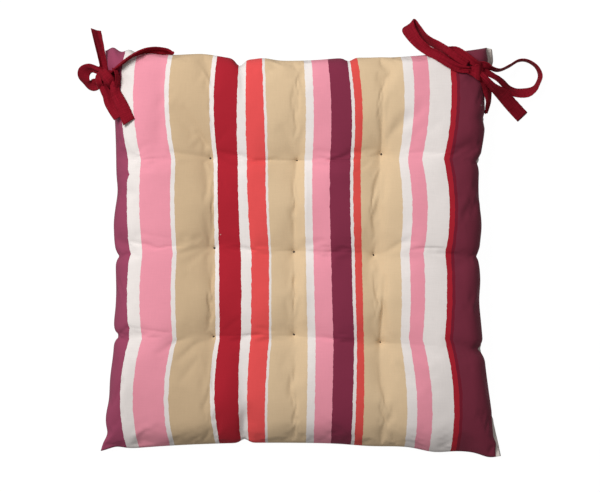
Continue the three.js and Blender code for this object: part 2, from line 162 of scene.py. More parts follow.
# Folds and creases on the face: start x and y, end x and y, depth at the start and at the end, and half
# width. A negative depth is a ridge. Sharpness is the power of their fall: 2 is a soft bell, 1 a point.
CREASE_SHARPNESS = 1.4
CREASES = [
    (-54.5, 190, -54, 146, 3.4, 0, 2.4),
    (-55.5, -188, -54, -150, 2.6, 0, 3),
    (50, 192, 58, 158, 1.6, 0, 4),
    (-112, 141, -91, 105, 0.8, 1.8, 3),
    (-90, 50, -88, 5, 0, 0.9, 3),
    (-90, -5, -87, -80, 0.9, 0.5, 3.5),
    (-122, 77, -100, 60, 0.7, 0, 4),
    (84.5, 164, 83, 98, 0.4, 1.8, 2),
    (92, 150, 92, 102, -0.6, -1.4, 7),
    (81, 92, 81, 34, 1.1, 0.5, 3.5),
    (-2, 86, -4, 2, 1.3, 1, 3),
    (7, 78, 7, 14, -1.8, -1.8, 5),
    (-4, -4, -3.5, -30, 0.8, 1.2, 3),
    (6.5, -12, 6.5, -68, -1.8, -1.8, 5),
    (-3.5, -30, -4, -82, 1, 0.8, 3),
    (78, 10, 75.5, -3, 0, 1, 1.6),
    (90, 84, 88, 20, -1, -1, 8),
    (90, -14, 92, -80, -0.8, -1.4, 8),
    (76.5, -18, 78, -46, -1.2, -0.6, 3.5),
    (86.5, -27, 82, -90, 1.4, 3, 2.2),
    (82, -93, 80, -138, 0.9, 0, 4),
    (82, 105, 80, -130, 1.3, 1, 9),
    (-51, -200, -57, -95, 6, 2.5, 13),
    (8, -105, 6, -170, -0.8, -0.8, 9),
    (-134, 190, -138, 108, 3, 3, 13),
    (32, 77, 54, 77, -1.4, -1.4, 11),
    (-150, 76, -128, 77, -1, -1, 10),
    (-48, 78, -34, 78, -0.8, -0.8, 9),
    (-125, 98, -88, 93, 1, 0.8, 2.5),
    (-127, -93, -100, -80, 0.8, 0, 3),
    (-184, 206, -183, 178, -2.6, -1.4, 3.5),
    (-170, 76, -181, 71, 1.4, 1, 1.6),
    (-169, -3, -179, -7, 1.6, 1.6, 1.6),
    (-169, -76, -180, -84, 1.6, 1.6, 1.6),
]
# The thin crease along each line of tufts, where it shows: start x and y, end x and y, and depth
SEAMED_CREASES = [
    (-171, 89.5, -129, 92.5, 0.6),
    (-58, 90.5, 0, 90, 0.8),
    (-1, 90, 30, 90, 0.8),
    (30, 89.8, 54, 89.6, 1.8),
    (54, 90.5, 80, 95.5, 0.5),
    (-152, 17, -128, 12.5, 0.45),
    (-169, -2, -163, -1.5, 0.5),
    (-60, 1, 14, -0.5, 0.6),
    (14, -0.5, 62, -1.5, 0.9),
    (-170, -75, -129, -81, 0.9),
    (-84, -85, -38, -83, 0.7),
    (-38, -83, 60, -88, 0.5),
    (84, -91, 136, -94, 0.4),
]
SEAMED_WIDTH = 1.2
# Small folds that run out from each tuft, the lumps of the wadding and the cloth's own rumples. Lumps and
# rumples are read from one layer of a field of noise.
STAR_FOLDS = {"count": 5, "depth": 0.15, "reach": 7}
LUMPS = {"size": 38, "depth": 0.8}
RUMPLES = {"size": 13, "depth": 0.2}
NOISE_LAYER = 90


def seam_line(edge, fraction):
    start, end = np.array(CORNERS[edge["from"]], float), np.array(CORNERS[edge["to"]], float)
    drawn = edge["drawn_in"] * (1 - np.abs(2 * fraction - 1) ** edge["squareness"])
    return start + (end - start) * fraction[..., None] + np.array(edge["inward"]) * drawn[..., None]


def plan(right, forward):
    """Places in plan: right runs 0 to 1 across the pad, and forward 0 to 1 from back edge to front."""
    r, f = right[..., None], forward[..., None]
    back_corners = (1 - r) * np.array(CORNERS["back_left"]) + r * np.array(CORNERS["back_right"])
    front_corners = (1 - r) * np.array(CORNERS["front_left"]) + r * np.array(CORNERS["front_right"])
    place = (1 - f) * seam_line(EDGES["back"], right) + f * seam_line(EDGES["front"], right)
    place += (1 - r) * seam_line(EDGES["left"], forward) + r * seam_line(EDGES["right"], forward)
    place -= (1 - f) * back_corners + f * front_corners
    inside = {"back": forward, "front": 1 - forward, "left": right, "right": 1 - right}
    along = {"back": right, "front": right, "left": forward, "right": forward}
    for edge, distance, depth, reach in PINCHES:
        offset = (along[edge] * PAD_WIDTH - distance) / reach
        push = depth * np.exp(-offset ** 2 - inside[edge] * PAD_WIDTH / PINCH_FADE)
        place += np.array(EDGES[edge]["inward"]) * push[..., None]
    return place


def fullness(right, forward, reaches):
    """Rises from 0 at the seam to 1 where the panel is fully round or flat."""
    share = 1
    from_edge = {"back": forward, "front": 1 - forward, "left": right, "right": 1 - right}
    for edge, (reach, squareness) in reaches.items():
        left = 1 - np.minimum(from_edge[edge] * PAD_WIDTH / reach, 1)
        share = share * (1 - left ** squareness) ** (1 / squareness)
    return share


def bump(offset, shape):
    depth, reach = shape
    return depth * np.exp(-(offset / reach) ** 2)


def read_line(places, at):
    """Height of a line through the given places, which runs on straight past its ends."""
    places = sorted(places)
    (x0, y0), (x1, y1) = places[0], places[1]
    (x2, y2), (x3, y3) = places[-2], places[-1]
    before = y0 + (at - x0) * (y1 - y0) / (x1 - x0)
    after = y3 + (at - x3) * (y3 - y2) / (x3 - x2)
    between = np.interp(at, [p[0] for p in places], [p[1] for p in places])
    return np.where(at < x0, before, np.where(at > x3, after, between))


def row_offset(row, x, y):
    return y - read_line(TUFTS[row], x)


def column_offset(column, x, y):
    return x - read_line([(row[column][1], row[column][0]) for row in TUFTS], y)


def nearest_tuft(x, y):
    return np.min([np.hypot(x - tuft[0], y - tuft[1]) for tuft in ALL_TUFTS], axis=0)


def seam_height(right, forward):
    cornerness = np.abs((2 * right - 1) * (2 * forward - 1)) ** CORNER_DROP
    along = SEAM_HEIGHTS["back"] + (SEAM_HEIGHTS["front"] - SEAM_HEIGHTS["back"]) * forward
    return along + (CORNER_HEIGHT - along) * cornerness


def top_height(x, y, right, forward):
    sewn = np.zeros_like(x)
    for line in range(len(TUFTS)):
        sewn += bump(row_offset(line, x, y), ROW_CHANNEL) + bump(column_offset(line, x, y), COLUMN_CHANNEL)
    near = nearest_tuft(x, y)
    sewn += bump(near, TUFT_HOLLOW) + TUFT_PIT[0] * np.exp(-near / TUFT_PIT[1])
    base = seam_height(right, forward)
    fall, reach = FRONT_FALL
    crown = CROWN_HEIGHT - fall * (1 - (1 - forward) * PAD_WIDTH / reach).clip(0) ** 2
    to_side = np.minimum(right, 1 - right) * PAD_WIDTH
    to_end = np.minimum(forward, 1 - forward) * PAD_WIDTH
    crown -= bump(np.hypot(to_side, to_end), CORNER_FALL)
    return base + (crown - base - sewn) * fullness(right, forward, FACE_ROUND)


def under_height(x, y, right, forward):
    pit = UNDER_PIT[0] * np.exp(-nearest_tuft(x, y) / UNDER_PIT[1])
    return seam_height(right, forward) * (1 - fullness(right, forward, UNDER_ROUND)) + pit


def grid_lines():
    """Mesh lines from seam to seam, closer together by the seams and through each line of tufts."""
    lines = [np.zeros(1)]
    stops = (0, *TUFT_LINES, 1)
    for start, end, cells in zip(stops, stops[1:], (EDGE_CELLS, TUFT_CELLS, TUFT_CELLS, EDGE_CELLS)):
        even = np.arange(1, cells + 1) / cells
        graded = even - FINER_ENDS * np.sin(2 * np.pi * even) / (2 * np.pi)
        lines.append(start + (end - start) * graded)
    return np.concatenate(lines)


lines = grid_lines()
right, forward = np.meshgrid(lines, lines)
face_plan = plan(right, forward)
held_at = []
for tuft in ALL_TUFTS:
    distance = np.hypot(face_plan[::2, ::2, 0] - tuft[0], face_plan[::2, ::2, 1] - tuft[1])
    row, column = (2 * int(i) for i in np.unravel_index(distance.argmin(), distance.shape))
    held_at.append((row, column))
    centre = face_plan[row, column].copy()
    away = np.hypot(face_plan[..., 0] - centre[0], face_plan[..., 1] - centre[1]) / TUFT_PULL
    face_plan += (np.array(tuft) - centre) * np.exp(-away ** 2)[..., None]

# Where the back panel shows past the seam, the face stops short of the outline and the back panel rolls out
# to it
shows = np.interp(face_plan[..., 1], *zip(*BACK_PANEL_SHOWS))
from_right = (1 - right) * PAD_WIDTH
back_plan = face_plan.copy()
face_plan[..., 0] -= shows * np.exp(-from_right / PINCH_FADE)
rolled_out = np.interp(from_right, (0, SEAM_ROLL["out"], SEAM_ROLL["in"]), (0, 1, 0))
bulge = np.interp(from_right, (0, SEAM_ROLL["out"]), (-1, 0)) * shows
back_plan[..., 0] += bulge + rolled_out * SEAM_ROLL["out"] * np.minimum(shows / SEAM_ROLL["full_from"], 1)

face = np.dstack([face_plan, top_height(*np.moveaxis(face_plan, 2, 0), right, forward)])
back = np.dstack([back_plan, under_height(*np.moveaxis(back_plan, 2, 0), right, forward)])


def panel_numbers(count):
    """Vertex numbers of the two panels, which share the seam."""
    on_face = np.arange(count * count).reshape(count, count)
    on_back = on_face.copy()
    on_back[1:-1, 1:-1] = count * count + np.arange((count - 2) ** 2).reshape(count - 2, count - 2)
    return on_face, on_back


def panel_faces(numbers, upward):
    a, b, c, d = numbers[:-1, :-1], numbers[1:, :-1], numbers[1:, 1:], numbers[:-1, 1:]
    corners = (a, b, c, d) if upward else (a, d, c, b)
    return np.stack(corners, axis=-1).reshape(-1, 4)


def new_object(name, points, faces):
    mesh = bpy.data.meshes.new(name)
    mesh.from_pydata([tuple(p) for p in points], [], [tuple(int(i) for i in f) for f in faces])
    mesh.polygons.foreach_set("use_smooth", [True] * len(mesh.polygons))
    made = bpy.data.objects.new(name, mesh)
    scene.collection.objects.link(made)
    return made


# The filling presses the panels out: a coarser mesh of the cover is held at its seam and tufts and swells
# under pressure, by less than the limit. A little more cloth than it needs lets it round out and rumple.
SWELL_FRAMES = 20
SWELL_LIMIT = 7
EXTRA_CLOTH = 0.008
FILLING_PRESSURE = 4
COTTON_FEEL = {
    "quality": 6,
    "mass": 0.3,
    "tension_stiffness": 25,
    "compression_stiffness": 15,
    "shear_stiffness": 8,
    "bending_stiffness": 0.6,
}


def swell(face_start, back_start):
    """How far each place of the two panels moves."""
    count = len(face_start)
    on_face, on_back = panel_numbers(count)
    start = np.concatenate([face_start.reshape(-1, 3), back_start[1:-1, 1:-1].reshape(-1, 3)]) * MM
    faces = np.concatenate([panel_faces(on_face, True), panel_faces(on_back, False)])
    work = new_object("cover_swelling", start, faces)
    sewn = work.vertex_groups.new(name="sewn")
    ring = np.concatenate([on_face[0], on_face[-1], on_face[:, 0], on_face[:, -1]])
    tied = [numbers[row // 2, column // 2] for numbers in (on_face, on_back) for row, column in held_at]
    sewn.add([int(i) for i in np.concatenate([ring, tied])], 1.0, "REPLACE")
    cloth = work.modifiers.new("Cloth", "CLOTH")
    for setting, value in COTTON_FEEL.items():
        setattr(cloth.settings, setting, value)
    cloth.settings.shrink_min = -EXTRA_CLOTH
    cloth.settings.vertex_group_mass = "sewn"
    cloth.settings.use_pressure = True
    cloth.settings.uniform_pressure_force = FILLING_PRESSURE
    cloth.settings.effector_weights.gravity = 0
    cloth.collision_settings.use_collision = False
    for step in range(1, SWELL_FRAMES + 1):
        scene.frame_set(step)
    swollen = work.evaluated_get(bpy.context.evaluated_depsgraph_get()).data
    places = np.empty(len(start) * 3, np.float32)
    swollen.vertices.foreach_get("co", places)
    bpy.data.objects.remove(work)
    scene.frame_set(1)
    moved = (places.reshape(-1, 3) - start) / MM
    length = np.linalg.norm(moved, axis=1, keepdims=True)
    moved *= np.tanh(length / SWELL_LIMIT) * SWELL_LIMIT / np.maximum(length, 1e-6)
    return moved[on_face], moved[on_back]


def refine(coarse):
    """Reads a field of the coarser mesh at every line of the finer one, on a smooth curve."""
    for _ in range(2):
        padded = np.concatenate([2 * coarse[:1] - coarse[1:2], coarse, 2 * coarse[-1:] - coarse[-2:-1]])
        middles = (9 * (padded[1:-2] + padded[2:-1]) - padded[:-3] - padded[3:]) / 16
        fine = np.empty((2 * len(coarse) - 1, *coarse.shape[1:]))
        fine[::2], fine[1::2] = coarse, middles
        coarse = np.swapaxes(fine, 0, 1)
    return coarse


face_moved, back_moved = swell(face[::2, ::2], back[::2, ::2])
face += refine(face_moved)
back += refine(back_moved)


def from_line(x, y, x0, y0, x1, y1):
    """Distance from a straight line between two places, and how far along it the nearest point is."""
    run_x, run_y = x1 - x0, y1 - y0
    share = np.clip(((x - x0) * run_x + (y - y0) * run_y) / (run_x ** 2 + run_y ** 2), 0, 1)
    return np.hypot(x - x0 - share * run_x, y - y0 - share * run_y), share


def crease_depth(x, y):
    """Depth of all the folds at these places."""
    depth = np.zeros_like(x)
    for x0, y0, x1, y1, start_deep, end_deep, half_width in CREASES:
        off, share = from_line(x, y, x0, y0, x1, y1)
        deep = start_deep + (end_deep - start_deep) * share
        depth += deep * np.exp(-(off / half_width) ** CREASE_SHARPNESS)
    for x0, y0, x1, y1, deep in SEAMED_CREASES:
        off, _ = from_line(x, y, x0, y0, x1, y1)
        depth += deep * np.exp(-off / SEAMED_WIDTH)
    for number, (tuft_x, tuft_y) in enumerate(ALL_TUFTS):
        away = np.hypot(x - tuft_x, y - tuft_y)
        turn = np.arctan2(y - tuft_y, x - tuft_x) * STAR_FOLDS["count"] + number
        rise = np.minimum(away / STAR_FOLDS["reach"], 1) * np.exp(-(away / STAR_FOLDS["reach"] - 1).clip(0))
        depth += STAR_FOLDS["depth"] * rise * np.cos(turn)
    return depth


def filling_lumps(x, y):
    """Rise and fall of the wadding under the cloth, and the cloth's own slight rumples."""
    height = np.zeros_like(x)
    for shape in (LUMPS, RUMPLES):
        for spot, (at_x, at_y) in enumerate(zip(x.flat, y.flat)):
            place = Vector((at_x, at_y, NOISE_LAYER)) / shape["size"]
            height.flat[spot] += shape["depth"] * noise.noise(place)
    return height


inside = fullness(right, forward, UNDER_ROUND)
relief = filling_lumps(face[..., 0], face[..., 1]) - crease_depth(face[..., 0], face[..., 1])
face[..., 2] += relief * inside
back[..., 2] = np.maximum(back[..., 2], 0)
on_seam = inside == 0
back[on_seam] = face[on_seam]

# Row frame: its origin is at the middle of the box round the pad and its ties, on the surface below
pad_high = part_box("pad")[1]
middle_x = pad_high.x - CORNERS["front_right"][0] * MM
middle_y = pad_high.y - CORNERS["back_right"][1] * MM
PAD_MIDDLE = Vector((middle_x, middle_y, 0))
face_numbers, back_numbers = panel_numbers(len(lines))
cover_points = np.concatenate([face.reshape(-1, 3), back[1:-1, 1:-1].reshape(-1, 3)])
face_quads, back_quads = panel_faces(face_numbers, True), panel_faces(back_numbers, False)
cover_quads = np.concatenate([face_quads, back_quads])
cover = new_object("cover", cover_points * MM + np.array(PAD_MIDDLE), cover_quads)
cover.data.polygons.foreach_set("material_index", [0] * len(face_quads) + [1] * len(back_quads))

# The print runs straight in the cloth, and sways with it where the tufts and the seam draw the cloth in:
# how far it runs to the right of its straight line, for each height along the pad and place across it
SWAY_ACROSS = (-145, -83, -59, -40, 10, 55, 125)
SWAY = [
    (206, (-1.7, 1.5, 0.7, -4.6, -3.6, -8.2, -0.1)),
    (148, (-6.8, -3.5, -2.7, -2.5, -0.2, -0.9, 3.6)),
    (91, (1, 0.4, -2.3, -0.1, -1.5, -1.7, -3.9)),
    (43, (-0.5, 0.8, -1.2, 0.8, -1.5, -2, 1.7)),
    (-2, (2.2, 1.8, 0.6, 4.2, -0.4, -0.4, -2.3)),
    (-45, (-0.3, 2.1, 1.2, 3.9, 0.5, 0.4, -0.9)),
    (-87, (1.7, 2.5, 0.6, 3.5, 1.6, 2.1, -3.3)),
    (-146, (-7.8, -3.1, -1.5, -1.2, 1.1, 0.8, 6.5)),
    (-204, (-1, 4, 1.6, -0.3, -0.5, -1, 3.8)),
]
# How far the first and the last bow run on past the seam
PRINT_OVERHANG = 40
# Where a pinch in the left-hand seam draws the print in: height along the pad
PRINT_NIPS = (76, -3, -77)
PRINT_NIP = {"depth": 3.6, "height": 2.6, "fade": 6, "from": -171}


def sway(x, y):
    """Between two lines of tufts the print bows through the place halfway."""
    total = np.zeros_like(x)
    for start in range(0, len(SWAY) - 1, 2):
        (y0, first), (y1, middle), (y2, last) = SWAY[start:start + 3]
        a, b, c = (np.interp(x, SWAY_ACROSS, values) for values in (first, middle, last))
        bow = a * (y - y1) * (y - y2) / ((y0 - y1) * (y0 - y2))
        bow += b * (y - y0) * (y - y2) / ((y1 - y0) * (y1 - y2))
        bow += c * (y - y0) * (y - y1) / ((y2 - y0) * (y2 - y1))
        top = y0 if start else y0 + PRINT_OVERHANG
        bottom = y2 if start < len(SWAY) - 3 else y2 - PRINT_OVERHANG
        total = np.where((y <= top) & (y > bottom), bow, total)
    for height in PRINT_NIPS:
        near_edge = np.exp(-(x - PRINT_NIP["from"]).clip(0) / PRINT_NIP["fade"])
        total += PRINT_NIP["depth"] * near_edge * np.exp(-np.abs(y - height) / PRINT_NIP["height"])
    return total


def map_cloth(made, name, places):
    """Gives each corner of the mesh its place in the cloth, in metres."""
    cloth_map = made.data.uv_layers.new(name=name)
    corner_vertices = np.empty(len(made.data.loops), np.int32)
    made.data.loops.foreach_get("vertex_index", corner_vertices)
    cloth_map.data.foreach_set("uv", (places[corner_vertices] * MM).astype(np.float32).ravel())


cloth_across = cover_points[:, 0] - sway(cover_points[:, 0], cover_points[:, 1])
map_cloth(cover, "cloth", np.column_stack([cloth_across, cover_points[:, 1]]))


def add_node(tree, kind, inputs=None, **settings):
    """Adds a node with its settings, and its inputs as values or as the outputs that they come from."""
    made = tree.nodes.new(kind)
    for name, value in settings.items():
        setattr(made, name, value)
    for name, value in (inputs or {}).items():
        if isinstance(value, bpy.types.NodeSocket):
            tree.links.new(value, made.inputs[name])
        else:
            made.inputs[name].default_value = value
    return made


def calculate(tree, operation, *values):
    """The result of a math node, from values or from the outputs that they come from."""
    return add_node(tree, "ShaderNodeMath", dict(enumerate(values)), operation=operation).outputs[0]


def linear(hex_colour):
    """An sRGB hex colour as the linear colour that a shader takes."""
    parts = [int(hex_colour[i:i + 2], 16) / 255 for i in (1, 3, 5)]
    return (*[p / 12.92 if p <= 0.04045 else ((p + 0.055) / 1.055) ** 2.4 for p in parts], 1)


def new_material(name, **values):
    """A material and its node tree, with the given values on its shader's sockets."""
    material = bpy.data.materials.new(name)
    material.use_nodes = True
    shader = material.node_tree.nodes["Principled BSDF"]
    for socket, value in values.items():
        shader.inputs[socket.replace("_", " ")].default_value = value
    return material, material.node_tree, shader


# Plain-woven cotton with thread-thick slubs, printed in flat stripes with pigment ink, which leaves it matt,
# with slightly ragged edges to the colours and a few bare specks where a slub stands up from the cloth. The
# threads are 0.45 mm apart: too fine to show here, so they are drawn twice as coarse.
THREAD_SPACING = 0.9
SLUB_LENGTH = 14
# How much a slub darkens or lightens the ink, and how strongly and how far it stands up
SLUB_SHADE = {"From Min": 0.6, "From Max": 1.4, "To Min": 0.965, "To Max": 1.03}
SLUB_RELIEF = {"Strength": 0.15, "Distance": 0.2 * MM}
EDGE_WANDER = {"reach": 2.2, "length": 8}
SPECK = {"spacing": 16, "radius": 0.65, "share": 0.09, "paleness": 0.35}
COTTON = {"Roughness": 0.9, "Specular_IOR_Level": 0.1}
INKS = {
    # The three plum stripes are one ink. The left-hand one is painted lighter, as painted light and sheen on
    # the flank that faces the lamp. The right-hand one is painted darker, as painted shade on the side that
    # faces away from it.
    "plum with painted light": "#94435d",
    "plum": "#7f2e45",
    "plum with painted shade": "#742c3d",
    "white": "#e3dbd7",
    "pink": "#e592a2",
    # The beige stripes are one ink in two tones: the left-hand stripe darker, and the middle and right-hand
    # stripes lighter, as painted shade and painted light across the face.
    "beige": "#c9ae8b",
    "beige with painted light": "#d5ba96",
    "dark red": "#a5212e",
    "coral": "#df5050",
    "brick": "#d94f4a",
    "overprint": "#741c2e",
}
UNDYED = "#d5ccc4"
# The stripes and their widths from the left-hand edge of the cloth on
CLOTH_EDGE = -230
STRIPES = [
    ("plum with painted light", 60.3), ("white", 13), ("pink", 30), ("white", 4.5), ("beige", 37.8), ("white", 4.2),
    ("dark red", 22.1), ("white", 8.4), ("coral", 17.6), ("white", 2.7), ("beige with painted light", 37.1),
    ("white", 7.8), ("pink", 17.7), ("plum", 20.1), ("white", 3.3), ("brick", 7.2), ("beige with painted light", 39.2),
    ("white", 8.7), ("pink", 14.4), ("white", 22.1), ("dark red", 5.5), ("overprint", 2.6),
    ("plum with painted shade", 76.4),
]
CLOTH_SPAN = sum(width for _, width in STRIPES)
# A colour ramp is read in 256 steps, so three share the cloth's width to set each edge to 0.6 mm
RAMPS = 3


def mix_colours(tree, share, first, second):
    """The colour sockets of a mix node have no names of their own, only numbers."""
    made = add_node(tree, "ShaderNodeMix", {0: share, 6: first, 7: second}, data_type="RGBA")
    return made.outputs[2]


def slubby_weave(tree, place):
    """Uneven threads both ways: each is long and thin in its own direction."""
    threads = []
    for across, along in ((THREAD_SPACING, SLUB_LENGTH), (SLUB_LENGTH, THREAD_SPACING)):
        scale = (1 / (across * MM), 1 / (along * MM), 1)
        spun = add_node(tree, "ShaderNodeMapping", {"Vector": place, "Scale": scale})
        uneven = add_node(tree, "ShaderNodeTexNoise", {"Vector": spun.outputs[0], "Scale": 1, "Detail": 2})
        threads.append(uneven.outputs[0])
    return calculate(tree, "ADD", *threads)


def printed_stripes(tree, place):
    """The stripes' colours from one side of the cloth to the other."""
    across = add_node(tree, "ShaderNodeSeparateXYZ", {0: place}).outputs[0]
    uneven = {"Vector": place, "Scale": 1 / (EDGE_WANDER["length"] * MM), "Detail": 4, "Roughness": 0.6}
    ragged = add_node(tree, "ShaderNodeTexNoise", uneven).outputs[0]
    ink_edge = calculate(tree, "MULTIPLY_ADD", ragged, EDGE_WANDER["reach"] * MM, across)
    part_span = CLOTH_SPAN / RAMPS
    colour = None
    for part in range(RAMPS):
        start = (CLOTH_EDGE + EDGE_WANDER["reach"] / 2 + part * part_span) * MM
        share = add_node(tree, "ShaderNodeMapRange", {
            "Value": ink_edge, "From Min": start, "From Max": start + part_span * MM,
        }).outputs[0]
        ramp = add_node(tree, "ShaderNodeValToRGB", {"Fac": share})
        ramp.color_ramp.interpolation = "CONSTANT"
        stops = ramp.color_ramp.elements
        stops.remove(stops[1])
        filled = -part * part_span
        for ink, width in STRIPES:
            if filled <= 0:
                stops[0].color = linear(INKS[ink])
            elif filled < part_span:
                stops.new(filled / part_span).color = linear(INKS[ink])
            filled += width
        if colour:
            beyond = calculate(tree, "GREATER_THAN", ink_edge, start)
            colour = mix_colours(tree, beyond, colour, ramp.outputs["Color"])
        else:
            colour = ramp.outputs["Color"]
    return colour


def finish_cotton(tree, shader, cloth_place, colour):
    """Mottles the colour, leaves a few pale specks in it and raises the surface by the weave."""
    spots = add_node(tree, "ShaderNodeTexVoronoi", {
        "Vector": cloth_place, "Scale": 1 / (SPECK["spacing"] * MM),
    }, voronoi_dimensions="2D")
    spot = calculate(tree, "LESS_THAN", spots.outputs["Distance"], SPECK["radius"] / SPECK["spacing"])
    chosen = calculate(tree, "LESS_THAN", spots.outputs["Color"], SPECK["share"])
    bare = calculate(tree, "MULTIPLY", calculate(tree, "MULTIPLY", spot, chosen), SPECK["paleness"])
    ground = mix_colours(tree, bare, colour, linear(UNDYED))
    weave = slubby_weave(tree, cloth_place)
    shade = add_node(tree, "ShaderNodeMapRange", {"Value": weave, **SLUB_SHADE}).outputs[0]
    mottled = add_node(tree, "ShaderNodeVectorMath", {0: ground, "Scale": shade}, operation="SCALE")
    tree.links.new(mottled.outputs[0], shader.inputs["Base Color"])
    raised = add_node(tree, "ShaderNodeBump", {"Height": weave, **SLUB_RELIEF})
    tree.links.new(raised.outputs[0], shader.inputs["Normal"])


striped, tree, shader = new_material("printed cotton canvas", **COTTON)
cloth_place = add_node(tree, "ShaderNodeUVMap", uv_map="cloth").outputs["UV"]
finish_cotton(tree, shader, cloth_place, printed_stripes(tree, cloth_place))
cover.data.materials.append(striped)

# Unbleached cotton, as it comes from the loom: pale, matt and slightly warm
undyed, tree, shader = new_material("unbleached cotton canvas", **COTTON)
cloth_place = add_node(tree, "ShaderNodeUVMap", uv_map="cloth").outputs["UV"]
finish_cotton(tree, shader, cloth_place, linear(UNDYED))
cover.data.materials.append(undyed)

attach(cover, "root")
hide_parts("pad")


# The tacks are short stitches of doubled dark polyester thread, drawn right through the filled pad at each
# tuft and knotted tight, so that they lie at the bottom of a pit on both faces.
TACK_HEADINGS = (80, 85, -45, 0, -50, 20, -45, 60, 30)
TACK_LENGTHS = (4.4, 4.2, 4.4, 4, 4.4, 2.6, 4.4, 4, 2.8)
THREAD_RADIUS = 0.5
THREAD_GAP = 1.05
TACK_RISE = 0.9
TACK_STEPS = 10
THREAD_SIDES = 8


def ring_quads(first, rings, around):
    """Faces between rings of points that follow each other, numbered on from the first."""
    faces = []
    for i in range(rings - 1):
        here, beyond = first + i * around, first + (i + 1) * around
        for j in range(around):
            k = (j + 1) % around
            faces.append([here + j, here + k, beyond + k, beyond + j])
    return faces


def round_tube(centres, radius, sides):
    """Points and faces of a closed round tube along the given centres."""
    along = np.gradient(centres, axis=0)
    along /= np.linalg.norm(along, axis=1, keepdims=True)
    level = np.cross(along, (0, 0, 1))
    level /= np.linalg.norm(level, axis=1, keepdims=True)
    upright = np.cross(level, along)
    turn = (np.arange(sides) * 2 * np.pi / sides)[:, None]
    rings = centres[:, None] + radius * (level[:, None] * np.cos(turn) + upright[:, None] * np.sin(turn))
    count = len(centres)
    faces = [[a, d, c, b] for a, b, c, d in ring_quads(0, count, sides)]
    ends = [list(range(sides)), list(range(count * sides - 1, (count - 1) * sides - 1, -1))]
    return rings.reshape(-1, 3), faces + ends


def join_parts(parts):
    """Points and faces of several meshes as one."""
    points, faces, used = [], [], 0
    for part_points, part_faces in parts:
        points.append(part_points)
        faces += [[used + i for i in corners] for corners in part_faces]
        used += len(part_points)
    return np.concatenate(points), faces


def tack(foot, heading, length, upward):
    """Two strands side by side over the bottom of a pit, with their ends down in the cloth."""
    strands = []
    direction = np.array([math.cos(math.radians(heading)), math.sin(math.radians(heading)), 0])
    beside = np.array([-direction[1], direction[0], 0])
    reach = np.linspace(-0.5, 0.5, TACK_STEPS + 1)
    for side in (-0.5, 0.5):
        centres = foot + np.outer(reach * length, direction) + beside * side * THREAD_GAP
        centres[:, 2] += upward * TACK_RISE * (1 - (2 * reach) ** 2 * 2)
        strands.append(round_tube(centres, THREAD_RADIUS, THREAD_SIDES))
    return strands


tacks = []
for (row, column), heading, length in zip(held_at, TACK_HEADINGS, TACK_LENGTHS):
    tacks += tack(face[row, column], heading, length, 1)
    tacks += tack(back[row, column], heading, length, -1)
tack_points, tack_faces = join_parts(tacks)
stitches = new_object("tufting_tacks", tack_points * MM + np.array(PAD_MIDDLE), tack_faces)

# Twisted polyester thread, dyed brown: dark, with a faint sheen along its ply
PLY_LENGTH = 1.2
THREAD_COLOURS = ("#1e1510", "#4c3728")
thread, tree, shader = new_material("twisted polyester thread", Roughness=0.6, Specular_IOR_Level=0.4)
object_place = add_node(tree, "ShaderNodeTexCoord").outputs["Object"]
uneven = {"Vector": object_place, "Scale": 1 / (PLY_LENGTH * MM)}
ply = add_node(tree, "ShaderNodeTexNoise", uneven).outputs[0]
brown = add_node(tree, "ShaderNodeValToRGB", {"Fac": ply})
brown.color_ramp.elements[0].color = linear(THREAD_COLOURS[0])
brown.color_ramp.elements[1].color = linear(THREAD_COLOURS[1])
tree.links.new(brown.outputs["Color"], shader.inputs["Base Color"])
stitches.data.materials.append(thread)
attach(stitches, "root")


# The left-hand tie is two narrow tapes of wine-red cotton, folded and edge-stitched, one sewn into the back
# seam and one into the side seam. They are knotted over the corner, with one open loop, a tail that stands
# out to the back, and two flat runs down the side.
TAPE_WIDTH = 13
TAPE_THICKNESS = 1.3
TAPE_SQUARENESS = 8
TAPE_CLEARANCE = 0.5
# Points across the tape, and steps along it from bend to bend
TAPE_ACROSS = 17
TAPE_STEPS = 8
# Where a tape is drawn narrow it gathers: waves across it, and how far along it they drift
GATHER_WAVES = 1.6
GATHER_TURN = 11
PUCKER = {"depth": 0.15, "length": 3.4}
SLANT_REACH = 9
# Above all of the pad
RAY_START = 100
